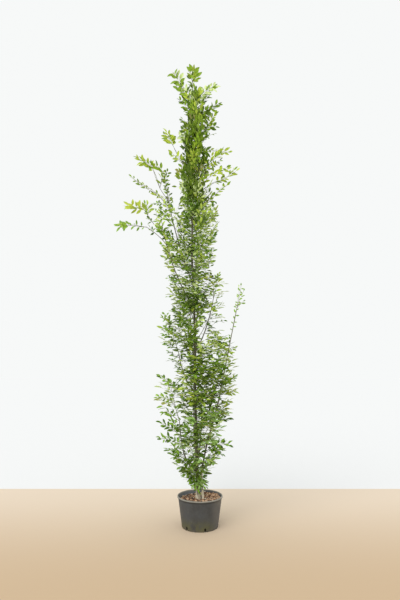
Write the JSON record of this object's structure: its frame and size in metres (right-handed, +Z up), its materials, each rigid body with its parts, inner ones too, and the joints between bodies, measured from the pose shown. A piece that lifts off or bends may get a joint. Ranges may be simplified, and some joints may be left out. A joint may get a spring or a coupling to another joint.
{
  "type": "potted columnar hornbeam tree",
  "caption": "Young upright hornbeam with a straight trunk, slim rising boughs and open green foliage, standing in a round black plastic nursery pot.",
  "frame": {"origin": "centre of the pot's flat underside", "axes": "+Z up the trunk, +X to the right and -Y towards the viewer in the front view"},
  "size_m": [1.2782, 0.6968, 4.3889],
  "materials": {
    "pot": "satin",
    "soil": "matte",
    "bark": "matte",
    "leaf": "matte"
  },
  "bodies": {
    "root": {"bough_back_low": "bark", "bough_back_mid": "bark", "bough_front_low": "bark", "bough_front_mid": "bark", "bough_left_leader": "bark", "bough_left_low": "bark", "bough_left_mid": "bark", "bough_left_outer": "bark", "bough_left_reach_high": "bark", "bough_left_reach_low": "bark", "bough_left_reach_mid": "bark", "bough_left_reach_top": "bark", "bough_right_low": "bark", "bough_right_mid": "bark", "foliage_back_high": "leaf", "foliage_back_low": "leaf", "foliage_back_mid": "leaf", "foliage_front_low": "leaf", "foliage_front_mid": "leaf", "foliage_left_leader": "leaf", "foliage_left_low": "leaf", "foliage_left_mid": "leaf", "foliage_left_outer": "leaf", "foliage_reach_high": "leaf", "foliage_reach_low": "leaf", "foliage_reach_mid": "leaf", "foliage_reach_top": "leaf", "foliage_right_low": "leaf", "foliage_right_mid": "leaf", "foliage_second_stem": "leaf", "foliage_side_right": "leaf", "foliage_spray_right": "leaf", "foliage_tier_01": "leaf", "foliage_tier_02": "leaf", "foliage_tier_03": "leaf", "foliage_tier_04": "leaf", "foliage_tier_05": "leaf", "foliage_tier_06": "leaf", "foliage_tier_07": "leaf", "foliage_tier_08": "leaf", "foliage_tier_09": "leaf", "foliage_tier_10": "leaf", "foliage_tier_11": "leaf", "foliage_tier_12": "leaf", "foliage_tier_13": "leaf", "foliage_tier_14": "leaf", "foliage_tier_15": "leaf", "foliage_tier_16": "leaf", "foliage_tier_17": "leaf", "foliage_tier_18": "leaf", "foliage_tip_left": "leaf", "foliage_tip_right": "leaf", "foliage_top": "leaf", "foliage_twig_left": "leaf", "foliage_twig_right": "leaf", "foliage_wing_right": "leaf", "pot": "pot", "second_stem": "bark", "soil": "soil", "trunk": "bark"}
  },
  "joints": []
}
